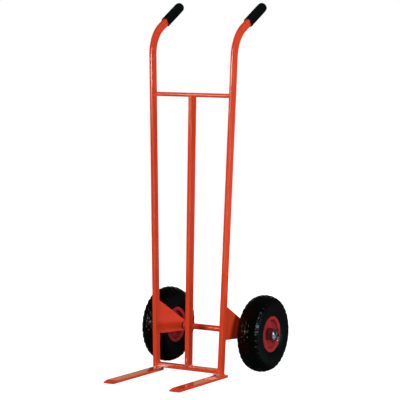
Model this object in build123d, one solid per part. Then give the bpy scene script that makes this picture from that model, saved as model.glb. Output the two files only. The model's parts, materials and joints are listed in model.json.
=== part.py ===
from build123d import *
import math
import os

os.makedirs("parts", exist_ok=True)

# Crate hand truck, in millimetres. +Z is up, -Y faces the load and X runs across.
# The origin is on the floor, in the middle of the truck's width and depth.

# Side uprights: rectangular tube, standing on the prongs and set wider apart towards the top
upright_width = 15.0
upright_depth = 25.0
tube_wall = 1.5
tube_corner = 2.5
foot_spacing = 250.0  # between the uprights' centre lines at the floor
bend_spacing = 313.0  # between them where the handles start to bend
bend_height = 1062.0
lean_angle = 0.5  # degrees backward
bend_radius = 107.0
bend_angle = 60.0
handle_neck = 35.0  # bare tube between the bend and the grip

# Grips
grip_wall = 2.4  # over the tube's corners
grip_length = 114.0
grip_end_wall = 6.0
grip_end_radius = 9.0
grip_mouth_radius = 1.2
grip_clearance = 0.1

# Middle of the frame
centre_width = 15.0
centre_depth = 30.0
upper_bar_diameter = 14.0
upper_bar_drop = 130.0  # below the start of the bends
lower_bar_depth = 25.0
lower_bar_thickness = 15.0
lower_bar_rise = 4.5  # above the prongs' tops
weld_gap = 0.1

# Prongs
prong_width = 40.0
prong_thickness = 8.0
prong_reach = 297.0  # ahead of the uprights
prong_heel = 17.0  # behind them
nose_length = 27.0
nose_thickness = 2.5
prong_corner = 5.0
prong_edge = 0.8

# Axle, brackets and what sits on the axle beside each wheel
frame_ahead = 175.0  # from the axle to the uprights' feet
axle_diameter = 20.0
bracket_thickness = 5.0
bracket_rise = 107.0  # above the axle, along the upright
bracket_drop = 8.0  # below it
bracket_nose_wall = 8.0  # plate round the axle
retaining_ring_rim = 2.6
retaining_ring_thickness = 1.5
retaining_ring_gap = 0.6  # from the bracket's inner face
spacer_wall = 3.5
spacer_length = 17.5  # from the bracket's middle to the inner washer
washer_rim = 8.5
washer_thickness = 3.0
axle_clearance = 0.1
cap_wall = 10.0  # it covers the washer behind it
cap_wall_height = 2.5
cap_crown = 5.0  # beyond the axle's end
axle_in_cap = 5.0

# Tyres
tyre_diameter = 260.0
tyre_width = 85.0
shoulder_inset = 9.5  # from the tyre's side to the edge of its tread
shoulder_drop = 11.0
tread_thickness = 9.5
tyre_wall = 6.0
inner_tube_wall = 2.0
inner_tube_gap = 0.4

# Rims, pressed from sheet in two halves
rim_sheet = 2.5
rim_width = 66.0  # over both flanges
bead_diameter = 101.6
bead_width = 8.0
bead_gap = 0.3
flange_height = 10.2
well_depth = 2.8
well_ramp = 6.5
disc_set_in = 12.5  # from the flange's outside to the disc's outside
sheet_bend = 1.0

# Hub and bearings
hub_length = 75.0
hub_wall = 2.5
hub_step = 1.5  # shoulder behind each bearing
bearing_section = 8.5  # from bore to outside
bearing_width = 9.0
bearing_race = 2.6  # thickness of a ring
bearing_clearance = 0.1
ball_diameter = 4.6
ball_count = 11
ball_gap = 0.1
ball_running_gap = 0.3
ring_stand_out = 0.6  # inner ring beyond the hub's end
seal_thickness = 0.8
seal_running_gap = 0.4

# Valve, passing through the well and out through the disc
valve_angle = -44.0  # about the axle, from straight back
valve_offset = 9.0  # from the wheel's middle plane
valve_turn_depth = 6.5  # from the well's inside to the stem's outer run
valve_knee = 16.5  # beyond the disc, where the stem turns aside
valve_reach = 15.5  # beyond the disc, at its end
valve_swing = 16.5  # aside, round the wheel
valve_dip = 1.0  # towards the axle at its end
valve_diameter = 7.0
valve_bend = 6.0
valve_hole = 10.0
valve_cap_diameter = 9.0
valve_cap_length = 9.0

# Sizes and places that follow from those above
tyre_radius = tyre_diameter / 2
axle_radius = axle_diameter / 2
axle_height = tyre_radius
truck_depth = prong_reach + frame_ahead + tyre_radius
axle_y = truck_depth / 2 - tyre_radius
frame_y = axle_y - frame_ahead
splay = (bend_spacing - foot_spacing) / 2 / bend_height
lean = math.tan(math.radians(lean_angle))
slope_length = math.sqrt(1 + splay**2 + lean**2)
grip_radius = math.hypot(upright_width, upright_depth) / 2 + grip_wall
upper_bar_height = bend_height - upper_bar_drop
lower_bar_height = prong_thickness + lower_bar_rise + lower_bar_thickness / 2
bracket_middle_x = foot_spacing / 2 + splay * axle_height
ring_bore = axle_radius + axle_clearance
washer_radius = axle_radius + washer_rim
bearing_radius = axle_radius + bearing_section
hub_radius = bearing_radius + hub_wall
inner_washer_x = bracket_middle_x + spacer_length
hub_inner_x = inner_washer_x + washer_thickness + ring_stand_out
wheel_x = hub_inner_x + hub_length / 2
outer_washer_x = hub_inner_x + hub_length + ring_stand_out
cap_x = outer_washer_x + washer_thickness
axle_length = 2 * (cap_x + axle_in_cap)


def tube_section(width, depth):
    outside = RectangleRounded(width, depth, tube_corner)
    inside = RectangleRounded(width - 2 * tube_wall, depth - 2 * tube_wall, tube_corner - tube_wall)
    return outside - inside


def save(node, shape):
    export_step(shape, f"parts/{node}.step")


def save_pair(name, right_shape):
    save("right_" + name, right_shape)
    save("left_" + name, mirror(right_shape, about=Plane.YZ))


def group(solids):
    return Compound(children=list(solids))


def along_x(radius, length):
    return Rot(0, 90, 0) * Cylinder(radius, length)


def ring_on_axle(start_x, length, outer_radius, inner_radius):
    ring = along_x(outer_radius, length) - along_x(inner_radius, length)
    return Pos(start_x + length / 2, axle_y, axle_height) * ring


def turned(points):
    # A solid of revolution about the wheel's axis, from (along the axis, radius) points
    return revolve(make_face(Polyline(*points, close=True)), Axis.X)


# Right upright with its handle
foot_plane = Plane(
    origin=(foot_spacing / 2, frame_y, 0),
    x_dir=(1, 0, -splay),
    z_dir=(splay, lean, 1),
)
straight_length = bend_height * slope_length
bend_plane = foot_plane.offset(straight_length)
bend_centre = bend_plane.origin + bend_plane.y_dir * bend_radius
turn = math.radians(bend_angle)
handle_direction = bend_plane.z_dir * math.cos(turn) + bend_plane.y_dir * math.sin(turn)
handle_start = (
    bend_centre
    - bend_plane.y_dir * bend_radius * math.cos(turn)
    + bend_plane.z_dir * bend_radius * math.sin(turn)
)
handle_plane = Plane(origin=handle_start, x_dir=foot_plane.x_dir, z_dir=handle_direction)
handle_length = handle_neck + grip_length - grip_end_wall - grip_clearance
foot_trim = 2 * prong_thickness


def upright_run(section):
    straight = extrude(foot_plane.offset(-foot_trim) * section, amount=foot_trim + straight_length)
    bend = revolve(bend_plane * section, Axis(bend_centre, -bend_plane.x_dir), bend_angle)
    handle = extrude(handle_plane * section, amount=handle_length)
    return straight + bend + handle


trim_size = 4 * upright_depth
below_prong_top = Pos(foot_spacing / 2, frame_y, prong_thickness - trim_size / 2) * Box(
    trim_size, trim_size, trim_size
)
right_upright = upright_run(tube_section(upright_width, upright_depth)) - below_prong_top
save_pair("upright", right_upright)

# What the uprights fill, used to fit the crossbars between them
right_filled = extrude(
    foot_plane * RectangleRounded(upright_width, upright_depth, tube_corner), amount=straight_length
)
left_filled = mirror(right_filled, about=Plane.YZ)

# Grips, closed at the end and pushed over the tubes
grip_plane = handle_plane.offset(handle_neck)
grip = extrude(grip_plane * Circle(grip_radius), amount=grip_length)
grip_ends = grip.edges().sort_by(Axis(grip_plane.origin, grip_plane.z_dir))
grip = fillet(grip_ends[-1], grip_end_radius)
grip_ends = grip.edges().sort_by(Axis(grip_plane.origin, grip_plane.z_dir))
grip = fillet(grip_ends[0], grip_mouth_radius)
grip_bore = RectangleRounded(
    upright_width + 2 * grip_clearance, upright_depth + 2 * grip_clearance, tube_corner + grip_clearance
)
grip -= extrude(grip_plane * grip_bore, amount=grip_length - grip_end_wall)
save_pair("grip", grip)

# Crossbars
upper_bar_y = frame_y + lean * upper_bar_height
upper_bar_blank = Pos(0, upper_bar_y, upper_bar_height) * along_x(
    upper_bar_diameter / 2, foot_spacing + 2 * splay * upper_bar_height
)
save("upper_crossbar", upper_bar_blank - right_filled - left_filled)

lower_bar_y = frame_y + lean * lower_bar_height
lower_bar_plane = Plane(origin=(0, lower_bar_y, lower_bar_height), x_dir=(0, 1, 0), z_dir=(1, 0, 0))
lower_bar = extrude(
    lower_bar_plane * tube_section(lower_bar_depth, lower_bar_thickness),
    amount=foot_spacing / 2 + splay * lower_bar_height,
    both=True,
)
save("lower_crossbar", lower_bar - right_filled - left_filled)

# Centre upright, from the lower crossbar's top to half way up the upper one, and notched over it
centre_foot = lower_bar_height + lower_bar_thickness / 2
centre_plane = Plane(origin=(0, frame_y, 0), x_dir=(1, 0, 0), z_dir=(0, lean, 1))
centre_run = extrude(centre_plane * tube_section(centre_width, centre_depth), amount=bend_height)
centre_span = Pos(0, frame_y, (centre_foot + upper_bar_height) / 2) * Box(
    2 * centre_width, 3 * centre_depth, upper_bar_height - centre_foot
)
upper_bar_notch = Pos(0, upper_bar_y, upper_bar_height) * along_x(
    upper_bar_diameter / 2 + weld_gap, 2 * centre_width
)
save("centre_upright", (centre_run & centre_span) - upper_bar_notch)

# Prongs: flat bar, bevelled on top at the nose
prong_x = foot_spacing / 2 + splay * prong_thickness
tip_y = frame_y - prong_reach
heel_y = frame_y + prong_heel
prong_side = Polyline(
    (tip_y, 0),
    (heel_y, 0),
    (heel_y, prong_thickness),
    (tip_y + nose_length, prong_thickness),
    (tip_y, nose_thickness),
    close=True,
)
prong_side_plane = Plane(origin=(prong_x, 0, 0), x_dir=(0, 1, 0), z_dir=(1, 0, 0))
prong = extrude(prong_side_plane * make_face(prong_side), amount=prong_width / 2, both=True)
prong_outline = Pos(prong_x, (tip_y + heel_y) / 2) * RectangleRounded(
    prong_width, heel_y - tip_y, prong_corner
)
prong &= extrude(prong_outline, amount=prong_thickness)
prong_long_edges = prong.edges().filter_by(Axis.Y).group_by(Axis.Z)[-1]
save_pair("prong", fillet(prong_long_edges, prong_edge))

# Axle brackets: plates in each upright's middle plane, on its back face
bracket_plane = Plane(origin=foot_plane.origin, x_dir=foot_plane.y_dir, z_dir=foot_plane.x_dir)
axle_in_bracket = bracket_plane.to_local_coords(
    Vector(bracket_middle_x, axle_y, axle_height)
)
bracket_nose = Pos(axle_in_bracket.X, axle_in_bracket.Y) * Circle(axle_radius + bracket_nose_wall)
bracket_root = Line(
    (upright_depth / 2, axle_in_bracket.Y - bracket_drop),
    (upright_depth / 2, axle_in_bracket.Y + bracket_rise),
)
bracket_outline = make_hull(bracket_nose.edges() + bracket_root.edges())
bracket_blank = extrude(bracket_plane * bracket_outline, amount=bracket_thickness / 2, both=True)
bracket_hole = Pos(0, axle_y, axle_height) * along_x(axle_radius + weld_gap, axle_length)
save_pair("axle_bracket", bracket_blank - bracket_hole)

# Axle and the pieces on it, from the bracket outward
save("axle", Pos(0, axle_y, axle_height) * along_x(axle_radius, axle_length))

retaining_ring_x = bracket_middle_x - bracket_thickness / 2 - retaining_ring_gap - retaining_ring_thickness
retaining_ring_radius = axle_radius + retaining_ring_rim
save_pair(
    "retaining_ring",
    ring_on_axle(retaining_ring_x, retaining_ring_thickness, retaining_ring_radius, ring_bore),
)
spacer_blank = ring_on_axle(bracket_middle_x, spacer_length, axle_radius + spacer_wall, ring_bore)
save_pair("axle_spacer", spacer_blank - bracket_blank)
save_pair("inner_washer", ring_on_axle(inner_washer_x, washer_thickness, washer_radius, ring_bore))
save_pair("outer_washer", ring_on_axle(outer_washer_x, washer_thickness, washer_radius, ring_bore))

cap_radius = axle_radius + cap_wall
cap_height = axle_in_cap + cap_crown
cap_rise = cap_height - cap_wall_height
cap_dome_radius = (cap_radius**2 + cap_rise**2) / (2 * cap_rise)
cap = Pos(cap_height / 2, 0, 0) * along_x(cap_radius, cap_height)
cap &= Pos(cap_height - cap_dome_radius, 0, 0) * Sphere(cap_dome_radius)
cap -= along_x(ring_bore, 2 * (axle_in_cap + axle_clearance))
save_pair("axle_cap", Pos(cap_x, axle_y, axle_height) * cap)

# From here on the right wheel is made about its own centre and then put on the axle
to_wheel = Pos(wheel_x, axle_y, axle_height)
half_rim = rim_width / 2
bead_radius = bead_diameter / 2
flange_radius = bead_radius + flange_height
well_radius = bead_radius - well_depth
bead_in = half_rim - rim_sheet
bead_toe = bead_in - bead_width

# Tyre: beads inside the flanges, side walls bulging over them, a slightly crowned tread
shoulder_radius = tyre_radius - shoulder_drop
half_tyre = tyre_width / 2
half_shoulder = half_tyre - shoulder_inset
widest_radius = (flange_radius + shoulder_radius) / 2
bead_x = bead_in - bead_gap
bead_floor = bead_radius + bead_gap
inner_crown = tyre_radius - tread_thickness
inner_shoulder = shoulder_radius - tyre_wall
tyre_outside = (
    ThreePointArc((bead_x, flange_radius), (half_tyre, widest_radius), (half_shoulder, shoulder_radius))
    + ThreePointArc((half_shoulder, shoulder_radius), (0, tyre_radius), (-half_shoulder, shoulder_radius))
    + ThreePointArc(
        (-half_shoulder, shoulder_radius), (-half_tyre, widest_radius), (-bead_x, flange_radius)
    )
)
tyre_inside = (
    ThreePointArc(
        (bead_toe, flange_radius),
        (half_tyre - tyre_wall, widest_radius),
        (half_shoulder - tyre_wall, inner_shoulder),
    )
    + ThreePointArc(
        (half_shoulder - tyre_wall, inner_shoulder),
        (0, inner_crown),
        (tyre_wall - half_shoulder, inner_shoulder),
    )
    + ThreePointArc(
        (tyre_wall - half_shoulder, inner_shoulder),
        (tyre_wall - half_tyre, widest_radius),
        (-bead_toe, flange_radius),
    )
)
right_bead = Polyline(
    (bead_x, flange_radius),
    (bead_x, bead_floor + rim_sheet),
    (bead_x - rim_sheet, bead_floor),
    (bead_toe, bead_floor),
    (bead_toe, flange_radius),
)
left_bead = mirror(right_bead, about=Plane.YZ)
tyre_section = make_face(tyre_outside + tyre_inside + right_bead + left_bead)
save_pair("tyre", to_wheel * revolve(tyre_section, Axis.X))

# Inner tube, filling the tyre down to the beads
tube_floor = flange_radius + inner_tube_gap
tube_space = make_face(tyre_inside + Line((bead_toe, flange_radius), (-bead_toe, flange_radius)))
inner_tube_outside = offset(tube_space, -inner_tube_gap)
inner_tube_section = inner_tube_outside - offset(inner_tube_outside, -inner_tube_wall)
save_pair("inner_tube", to_wheel * revolve(inner_tube_section, Axis.X))

# Rim halves
half_well = bead_toe - well_ramp
disc_out = half_rim - disc_set_in
disc_bore = hub_radius + weld_gap
rim_points = [
    (weld_gap / 2, well_radius),
    (half_well, well_radius),
    (bead_toe, bead_radius),
    (bead_in - rim_sheet, bead_radius),
    (bead_in, bead_radius + rim_sheet),
    (bead_in, flange_radius),
    (half_rim, flange_radius),
    (half_rim, bead_radius + rim_sheet / 2),
    (half_rim - rim_sheet, bead_radius - rim_sheet),
    (disc_out, bead_radius - rim_sheet),
    (disc_out, disc_bore),
    (disc_out - rim_sheet, disc_bore),
    (disc_out - rim_sheet, well_radius - rim_sheet),
    (weld_gap / 2, well_radius - rim_sheet),
]
rim_section = make_face(FilletPolyline(*rim_points, radius=sheet_bend, close=True))
rim_outer = revolve(rim_section, Axis.X)
rim_inner = mirror(rim_outer, about=Plane.YZ)

# Valve stem: out of the inner tube, through the well, bent outward through the disc, then aside
angle = math.radians(valve_angle)
outward = Vector(0, math.cos(angle), math.sin(angle))
valve_plane = Plane(origin=(0, 0, 0), x_dir=(1, 0, 0), z_dir=Vector(1, 0, 0).cross(outward))
valve_turn_radius = well_radius - rim_sheet - valve_turn_depth
valve_start_radius = math.sqrt(tube_floor**2 - (valve_diameter / 2) ** 2)
valve_line = valve_plane * FilletPolyline(
    (valve_offset, valve_start_radius, 0),
    (valve_offset, valve_turn_radius, 0),
    (disc_out + valve_knee, valve_turn_radius, 0),
    (disc_out + valve_reach, valve_turn_radius - valve_dip, valve_swing),
    radius=valve_bend,
)
valve_start_plane = Plane(origin=valve_line @ 0, z_dir=valve_line % 0)
valve_stem = sweep(valve_start_plane * Circle(valve_diameter / 2), valve_line)
valve_passage = sweep(valve_start_plane * Circle(valve_hole / 2), valve_line)
valve_end_plane = Plane(origin=valve_line @ 1, z_dir=valve_line % 1)
valve_cap = extrude(valve_end_plane * Circle(valve_cap_diameter / 2), amount=valve_cap_length)
save_pair("valve_stem", to_wheel * valve_stem)
save_pair("valve_cap", to_wheel * valve_cap)
save_pair("rim_outer_half", to_wheel * (rim_outer - valve_passage))
save_pair("rim_inner_half", to_wheel * rim_inner)

# Hub tube, bored at both ends for the bearings
half_hub = hub_length / 2
seat_radius = bearing_radius + bearing_clearance
seat_depth = half_hub - bearing_width
hub_tube = turned(
    [
        (-half_hub, hub_radius),
        (half_hub, hub_radius),
        (half_hub, seat_radius),
        (seat_depth, seat_radius),
        (seat_depth, seat_radius - hub_step),
        (-seat_depth, seat_radius - hub_step),
        (-seat_depth, seat_radius),
        (-half_hub, seat_radius),
    ]
)
save_pair("hub_tube", to_wheel * hub_tube)

# Bearings: outer rings, balls and seals turn with the wheel, inner rings stay on the axle
bearing_middle = half_hub - bearing_width / 2
pitch_radius = (axle_radius + bearing_radius) / 2
ball_radius = ball_diameter / 2
outer_ring = turned(
    [
        (-bearing_width / 2, bearing_radius),
        (bearing_width / 2, bearing_radius),
        (bearing_width / 2, bearing_radius - bearing_race),
        (-bearing_width / 2, bearing_radius - bearing_race),
    ]
)
outer_ring -= Rot(0, 90, 0) * Torus(pitch_radius, ball_radius + ball_gap)
inner_ring = turned(
    [
        (-bearing_width / 2, ring_bore),
        (bearing_width / 2 + ring_stand_out, ring_bore),
        (bearing_width / 2 + ring_stand_out, axle_radius + bearing_race),
        (-bearing_width / 2, axle_radius + bearing_race),
    ]
)
inner_ring -= Rot(0, 90, 0) * Torus(pitch_radius, ball_radius + ball_running_gap)
seal_outer_radius = bearing_radius - bearing_race - ball_gap
seal_inner_radius = axle_radius + bearing_race + seal_running_gap
seal_x = bearing_width / 2 - seal_thickness
seal = turned(
    [
        (seal_x, seal_outer_radius),
        (seal_x + seal_thickness, seal_outer_radius),
        (seal_x + seal_thickness, seal_inner_radius),
        (seal_x, seal_inner_radius),
    ]
)
balls = []
for index in range(ball_count):
    place = 2 * math.pi * index / ball_count
    balls.append(
        Pos(0, pitch_radius * math.cos(place), pitch_radius * math.sin(place)) * Sphere(ball_radius)
    )


def at_both_ends(shapes):
    solids = []
    for shape in shapes:
        outer = Pos(bearing_middle, 0, 0) * shape
        solids.append(to_wheel * outer)
        solids.append(to_wheel * mirror(outer, about=Plane.YZ))
    return group(solids)


save_pair("bearing_outer_rings", at_both_ends([outer_ring]))
save_pair("bearing_inner_rings", at_both_ends([inner_ring]))
save_pair("bearing_balls", at_both_ends(balls))
save_pair("bearing_seals", at_both_ends([seal, mirror(seal, about=Plane.YZ)]))
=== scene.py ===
import bpy
import bmesh
import json
import math
import random
from mathutils import Matrix, Vector


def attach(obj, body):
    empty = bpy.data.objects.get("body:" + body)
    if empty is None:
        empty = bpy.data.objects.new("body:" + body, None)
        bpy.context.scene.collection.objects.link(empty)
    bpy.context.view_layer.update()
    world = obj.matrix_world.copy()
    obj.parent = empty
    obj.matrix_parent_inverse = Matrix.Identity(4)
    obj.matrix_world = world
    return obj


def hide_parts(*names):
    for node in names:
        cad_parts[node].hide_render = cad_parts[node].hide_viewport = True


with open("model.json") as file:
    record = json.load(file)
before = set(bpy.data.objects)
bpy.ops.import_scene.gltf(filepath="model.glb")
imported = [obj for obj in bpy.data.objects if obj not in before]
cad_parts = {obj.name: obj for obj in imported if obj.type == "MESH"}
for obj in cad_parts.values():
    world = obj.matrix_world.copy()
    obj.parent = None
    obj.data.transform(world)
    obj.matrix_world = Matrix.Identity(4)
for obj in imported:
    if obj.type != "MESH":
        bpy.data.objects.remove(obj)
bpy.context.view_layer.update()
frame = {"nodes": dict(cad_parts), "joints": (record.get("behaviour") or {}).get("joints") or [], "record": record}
nodes = frame["nodes"]
scene = bpy.context.scene
print("frame loaded,", len(nodes), "CAD nodes")

wheelCentre = {j["child"]: Vector(j["pos_m"]) for j in frame["joints"]}
sideSign = {"left": -1, "right": 1}
millimetre = 0.001

# the frame's lines in millimetres, which its paint and its welds follow

frameLine = {
    "foot": (125, -4), "splay": 0.029661, "lean": 0.008727,  # right upright's middle line
    "halfWide": 7.5, "halfDeep": 12.5, "prongTop": 8,
    "barTop": 27.5, "barBottom": 12.5, "centreHalfWide": 7.5,
    "upperBar": (932, 7),  # height and radius
}

# camera at the photograph's angle

photoView = {
    "azimuth": 30.724,  # degrees round from straight ahead
    "elevation": 5.103,
    "roll": 0.595,
    "distance": 6.1806,
    "aim": (-0.06591, 0.171, 0.56754),
    "focalPixels": 1806.65,
    "imageWidth": 400,
    "sensor": 36,
    "clipEnd": 100,
}


def placeCamera(view):
    azimuth, elevation, roll = (math.radians(view[k]) for k in ("azimuth", "elevation", "roll"))
    back = Vector((math.sin(azimuth) * math.cos(elevation),
                   -math.cos(azimuth) * math.cos(elevation), math.sin(elevation)))
    level = Vector((math.cos(azimuth), math.sin(azimuth), 0))
    plumb = back.cross(level)
    right = level * math.cos(roll) + plumb * math.sin(roll)
    up = plumb * math.cos(roll) - level * math.sin(roll)
    data = bpy.data.cameras.new("photoCamera")
    data.sensor_width = view["sensor"]
    data.lens = view["focalPixels"] * view["sensor"] / view["imageWidth"]
    data.clip_end = view["clipEnd"]
    camera = bpy.data.objects.new("photoCamera", data)
    camera.matrix_world = (Matrix.Translation(Vector(view["aim"]) + back * view["distance"])
                           @ Matrix((right, up, back)).transposed().to_4x4())
    scene.collection.objects.link(camera)
    scene.camera = camera


placeCamera(photoView)
scene.view_settings.view_transform = "Standard"
print("camera placed")

# small helpers for node trees


def put(tree, kind, place, sockets=None, **settings):
    node = tree.nodes.new(kind)
    node.location = place
    for name, value in settings.items():
        setattr(node, name, value)
    for name, value in (sockets or {}).items():
        node.inputs[name].default_value = value
    return node


def rgb(colour):
    return (*colour, 1)


def feed(tree, socket, value):
    # another node's output is linked, a plain number or colour is set
    if isinstance(value, bpy.types.NodeSocket):
        tree.links.new(value, socket)
    else:
        socket.default_value = value


mixSockets = {"factor": 0, "first": 6, "second": 7, "result": 2}  # those for colours


def blendColour(tree, place, factor, first, second):
    node = put(tree, "ShaderNodeMix", place, data_type="RGBA")
    for name, value in (("factor", factor), ("first", first), ("second", second)):
        feed(tree, node.inputs[mixSockets[name]], value)
    return node.outputs[mixSockets["result"]]


def remap(tree, place, value, low, high, fromLow=0.0, fromHigh=1.0):
    node = put(tree, "ShaderNodeMapRange", place, {"To Min": low, "To Max": high})
    for name, part in (("Value", value), ("From Min", fromLow), ("From Max", fromHigh)):
        feed(tree, node.inputs[name], part)
    return node.outputs["Result"]


def combine(tree, place, operation, first, second):
    node = put(tree, "ShaderNodeMath", place, operation=operation)
    for socket, value in zip(node.inputs, (first, second)):
        feed(tree, socket, value)
    return node.outputs[0]


def noise(tree, place, where, scale, detail, roughness=0.5):
    node = put(tree, "ShaderNodeTexNoise", place, {"Detail": detail, "Roughness": roughness})
    tree.links.new(where, node.inputs["Vector"])
    feed(tree, node.inputs["Scale"], scale)
    return node.outputs[0]


def startGroup(name, inputs, outputs):
    tree = bpy.data.node_groups.new(name, "ShaderNodeTree")
    for label, value in inputs.items():
        socket = tree.interface.new_socket(name=label, in_out="INPUT", socket_type="NodeSocketFloat")
        socket.default_value = value
    for label in outputs:
        tree.interface.new_socket(name=label, in_out="OUTPUT", socket_type="NodeSocketFloat")
    given, made = put(tree, "NodeGroupInput", (-900, 0)), put(tree, "NodeGroupOutput", (700, 0))
    return tree, given.outputs, made.inputs


def useGroup(tree, group, place, sockets):
    return put(tree, "ShaderNodeGroup", place, sockets, node_tree=group)


def objectPlace(tree):
    return put(tree, "ShaderNodeTexCoord", (-900, 300)).outputs["Object"]


def fromAxle(tree, scale=(1, 1, 1)):
    # places measured from the wheels' axle
    axle = wheelCentre["right_wheel"]
    centred = put(tree, "ShaderNodeMapping", (-700, 300),
                  {"Location": (0, -axle.y, -axle.z), "Scale": scale})
    tree.links.new(objectPlace(tree), centred.inputs["Vector"])
    return centred.outputs[0]


# shared effects

noiseMiddle = (0.3, 0.7)  # where most of a noise texture's values lie
paintSkinLook = {"driftScale": 5, "hazeScale": 46, "hazeSpan": (0.35, 0.75)}


def makePaintSkin(look):
    # sprayed paint: fine orange peel, slow waviness, a slow drift of shade, and hazy patches
    inputs = {"Peel Scale": 260, "Wave Scale": 22, "Wave Share": 0.5}
    tree, given, made = startGroup("paintSkin", inputs, ("Height", "Shade", "Haze"))
    where = objectPlace(tree)
    peel = noise(tree, (-600, 300), where, given["Peel Scale"], detail=2)
    wave = noise(tree, (-600, 0), where, given["Wave Scale"], detail=1)
    drift = noise(tree, (-600, -300), where, look["driftScale"], detail=3)
    haze = noise(tree, (-600, -600), where, look["hazeScale"], detail=5, roughness=0.65)
    deepWave = combine(tree, (-300, 0), "MULTIPLY", wave, given["Wave Share"])
    tree.links.new(combine(tree, (0, 200), "ADD", peel, deepWave), made["Height"])
    tree.links.new(remap(tree, (0, -200), drift, 0, 1, *noiseMiddle), made["Shade"])
    tree.links.new(remap(tree, (0, -500), haze, 0, 1, *look["hazeSpan"]), made["Haze"])
    return tree


edgeRubAndSheenLook = {"turnSpan": (0.72, 0.99), "patchSpan": (0.35, 0.6), "leastEdgeShare": 0.35, "samples": 6}


def makeEdgeRubAndSheen(look):
    # where a surface turns sharply, broken up a little; the materials lighten these edges, partly as rubbed wear
    # and partly as a painted edge highlight
    tree, given, made = startGroup("edgeRubAndSheen", {"Width": 0.0015, "Break Up": 60}, ("Mask",))
    surface = put(tree, "ShaderNodeNewGeometry", (-900, -200))
    rounded = put(tree, "ShaderNodeBevel", (-600, 0), samples=look["samples"])
    tree.links.new(given["Width"], rounded.inputs["Radius"])
    facing = put(tree, "ShaderNodeVectorMath", (-300, 0), operation="DOT_PRODUCT")
    tree.links.new(rounded.outputs[0], facing.inputs[0])
    tree.links.new(surface.outputs["Normal"], facing.inputs[1])
    turnAway = remap(tree, (-50, 0), facing.outputs["Value"], 1, 0, *look["turnSpan"])
    patchy = noise(tree, (-600, 300), objectPlace(tree), given["Break Up"], detail=3)
    broken = remap(tree, (-50, 300), patchy, look["leastEdgeShare"], 1, *look["patchSpan"])
    tree.links.new(combine(tree, (300, 100), "MULTIPLY", turnAway, broken), made["Mask"])
    return tree


dustLook = {"upSpan": (0.2, 1), "fleckSpan": (0.4, 0.75)}


def makeSettledDust(look):
    # a thin, flecked film on what faces up
    tree, given, made = startGroup("settledDust", {"Amount": 0.3, "Fleck Scale": 90}, ("Mask",))
    surface = put(tree, "ShaderNodeNewGeometry", (-900, -200))
    up = put(tree, "ShaderNodeSeparateXYZ", (-600, -200))
    tree.links.new(surface.outputs["Normal"], up.inputs[0])
    facingUp = remap(tree, (-300, -200), up.outputs["Z"], 0, 1, *look["upSpan"])
    flecks = noise(tree, (-600, 200), objectPlace(tree), given["Fleck Scale"], detail=6, roughness=0.7)
    patchy = remap(tree, (-300, 200), flecks, 0, 1, *look["fleckSpan"])
    film = combine(tree, (0, 0), "MULTIPLY", facingUp, patchy)
    tree.links.new(combine(tree, (300, 0), "MULTIPLY", film, given["Amount"]), made["Mask"])
    return tree


rubberSkinLook = {"grainScale": 1400, "grainShare": 0.5}


def makeRubberSkin(look):
    # moulded rubber or plastic: fine pebble and slow blotches
    inputs = {"Pebble Scale": 900, "Blotch Scale": 18}
    tree, given, made = startGroup("rubberSkin", inputs, ("Height", "Blotch"))
    where = objectPlace(tree)
    pebble = put(tree, "ShaderNodeTexVoronoi", (-600, 200), feature="SMOOTH_F1")
    tree.links.new(where, pebble.inputs["Vector"])
    tree.links.new(given["Pebble Scale"], pebble.inputs["Scale"])
    grain = noise(tree, (-600, -100), where, look["grainScale"], detail=3)
    blotch = noise(tree, (-600, -400), where, given["Blotch Scale"], detail=4, roughness=0.6)
    fine = combine(tree, (-300, -100), "MULTIPLY", grain, look["grainShare"])
    tree.links.new(combine(tree, (0, 100), "ADD", pebble.outputs["Distance"], fine), made["Height"])
    tree.links.new(remap(tree, (0, -400), blotch, 0, 1, *noiseMiddle), made["Blotch"])
    return tree


def makeTurnedMarks():
    # lathe rings round the axle, with blotches from handling
    inputs = {"Ring Scale": 320, "Blotch Scale": 120}
    tree, given, made = startGroup("turnedMarks", inputs, ("Rings", "Blotch"))
    where = fromAxle(tree)
    rings = put(tree, "ShaderNodeTexWave", (-400, 300), {"Distortion": 0.6, "Detail": 2},
                wave_type="RINGS", rings_direction="X")
    tree.links.new(where, rings.inputs["Vector"])
    tree.links.new(given["Ring Scale"], rings.inputs["Scale"])
    blotch = noise(tree, (-400, -100), where, given["Blotch Scale"], detail=5, roughness=0.6)
    tree.links.new(rings.outputs["Fac"], made["Rings"])
    tree.links.new(remap(tree, (0, -100), blotch, 0, 1, *noiseMiddle), made["Blotch"])
    return tree


def makeTubeCrown():
    # a drawn tube's front and back faces bulge a little across their width
    inputs = {"Foot": 0, "Splay": 0, "Half Width": 0.0075, "Rise": 0.0005}
    tree, given, made = startGroup("tubeCrown", inputs, ("Height",))
    split = put(tree, "ShaderNodeSeparateXYZ", (-700, 300))
    tree.links.new(objectPlace(tree), split.inputs[0])
    aside = combine(tree, (-500, 300), "ABSOLUTE", split.outputs["X"], 0)
    outward = combine(tree, (-500, 100), "MULTIPLY", split.outputs["Z"], given["Splay"])
    middle = combine(tree, (-300, 100), "ADD", outward, given["Foot"])
    across = combine(tree, (-100, 200), "SUBTRACT", aside, middle)
    share = combine(tree, (100, 200), "DIVIDE", across, given["Half Width"])
    squared = combine(tree, (250, 200), "MULTIPLY", share, share)
    fall = combine(tree, (400, 200), "MULTIPLY", squared, given["Rise"])
    tree.links.new(combine(tree, (550, 200), "MULTIPLY", fall, -1), made["Height"])
    return tree


def makeTreadWear():
    # the part of a tyre that rolls on the floor, by its distance from the axle
    tree, given, made = startGroup("treadWear", {"From": 0.118, "To": 0.125}, ("Mask",))
    radius = put(tree, "ShaderNodeVectorMath", (-450, 300), operation="LENGTH")
    tree.links.new(fromAxle(tree, (0, 1, 1)), radius.inputs[0])
    worn = remap(tree, (-200, 300), radius.outputs["Value"], 0, 1, given["From"], given["To"])
    tree.links.new(worn, made["Mask"])
    return tree


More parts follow.
